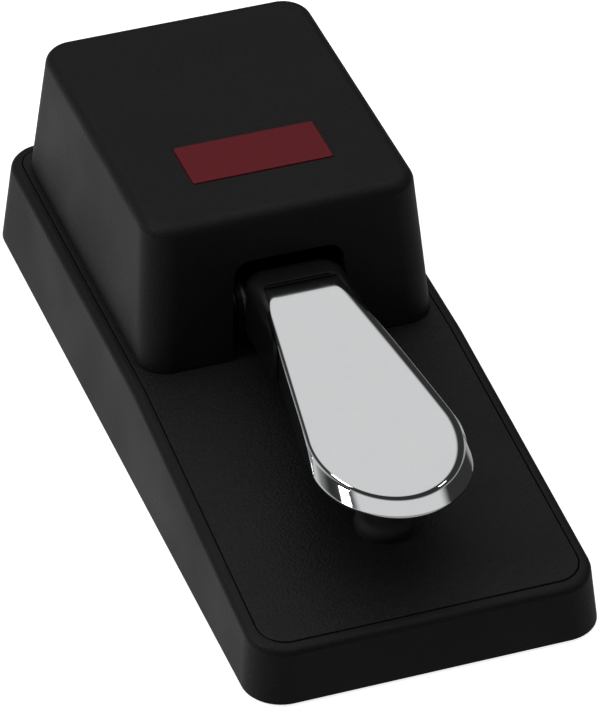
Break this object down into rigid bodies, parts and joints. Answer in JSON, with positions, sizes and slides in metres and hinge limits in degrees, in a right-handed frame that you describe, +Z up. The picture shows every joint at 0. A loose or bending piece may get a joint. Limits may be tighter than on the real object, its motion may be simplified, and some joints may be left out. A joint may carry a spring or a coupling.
{
  "type": "sustain pedal",
  "caption": "Piano-style sustain pedal: flat black base with a sloping deck, box housing, and a chrome teardrop pedal on a sprung arm.",
  "frame": {"origin": "on the floor under the middle of the base's outline", "axes": "+Z up, -Y towards the player (the pedal's tip), +Y towards the cable inlet, +X to the right seen from the player"},
  "size_m": [0.104, 0.24, 0.0744],
  "materials": {
    "black_abs": "fine spark-textured moulded ABS, black",
    "deck_abs": "coarser textured moulded ABS, black",
    "arm_nylon": "satin moulded glass-filled nylon, black",
    "chrome_zinc": "polished chrome plate on a zinc casting",
    "badge_red": "dark red printed plate, plain",
    "zinc_steel": "zinc-plated steel",
    "ground_steel": "bright ground steel",
    "spring_steel": "oiled spring steel wire",
    "black_plate": "black powder-coated steel",
    "rubber_black": "matt black rubber",
    "felt_grey": "pressed grey felt",
    "bush_acetal": "natural white acetal",
    "board_green": "glass-epoxy circuit board with green solder mask",
    "switch_black": "black moulded switch case",
    "plunger_white": "white acetal plunger",
    "terminal_green": "green moulded terminal block"
  },
  "bodies": {
    "body": {"base_shell": "black_abs", "deck_plate": "deck_abs", "housing_cover": "black_abs", "badge": "badge_red", "bottom_plate": "black_plate", "rubber_sole": "rubber_black", "case_screws": "zinc_steel", "housing_screws": "zinc_steel", "cable_grommet": "rubber_black", "front_stop": "rubber_black", "rest_pad": "felt_grey", "pivot_axle": "ground_steel", "axle_clips": "spring_steel", "pivot_bracket": "black_plate", "bracket_screws": "zinc_steel", "return_spring": "spring_steel", "switch_board": "board_green", "board_screws": "zinc_steel", "switch_body": "switch_black", "wire_terminal": "terminal_green", "selector_body": "switch_black"},
    "pedal": {"pedal_arm": "arm_nylon", "pedal_cap": "chrome_zinc", "cap_screws": "zinc_steel", "axle_bushes": "bush_acetal"},
    "plunger": {"switch_plunger": "plunger_white"},
    "selector": {"selector_knob": "plunger_white"}
  },
  "joints": [
    {"name": "pedal_hinge", "type": "hinge", "parent": "body", "child": "pedal", "pos_m": [0, 0.008, 0.041], "axis": [1, 0, 0], "range_deg": [0, 10.5], "stiffness_Nm_per_rad": 4.1, "springref_deg": -8.59, "deforming": ["return_spring"]},
    {"name": "plunger_slide", "type": "slide", "parent": "body", "child": "plunger", "axis": [0, 0, 1], "range_m": [0, 0.0013]},
    {"name": "selector_slide", "type": "slide", "parent": "body", "child": "selector", "axis": [1, 0, 0], "range_m": [0, 0.002]}
  ],
  "couplings": [
    {"joint": "plunger_slide", "follows": "pedal_hinge", "m_per_rad": 0.0068}
  ]
}
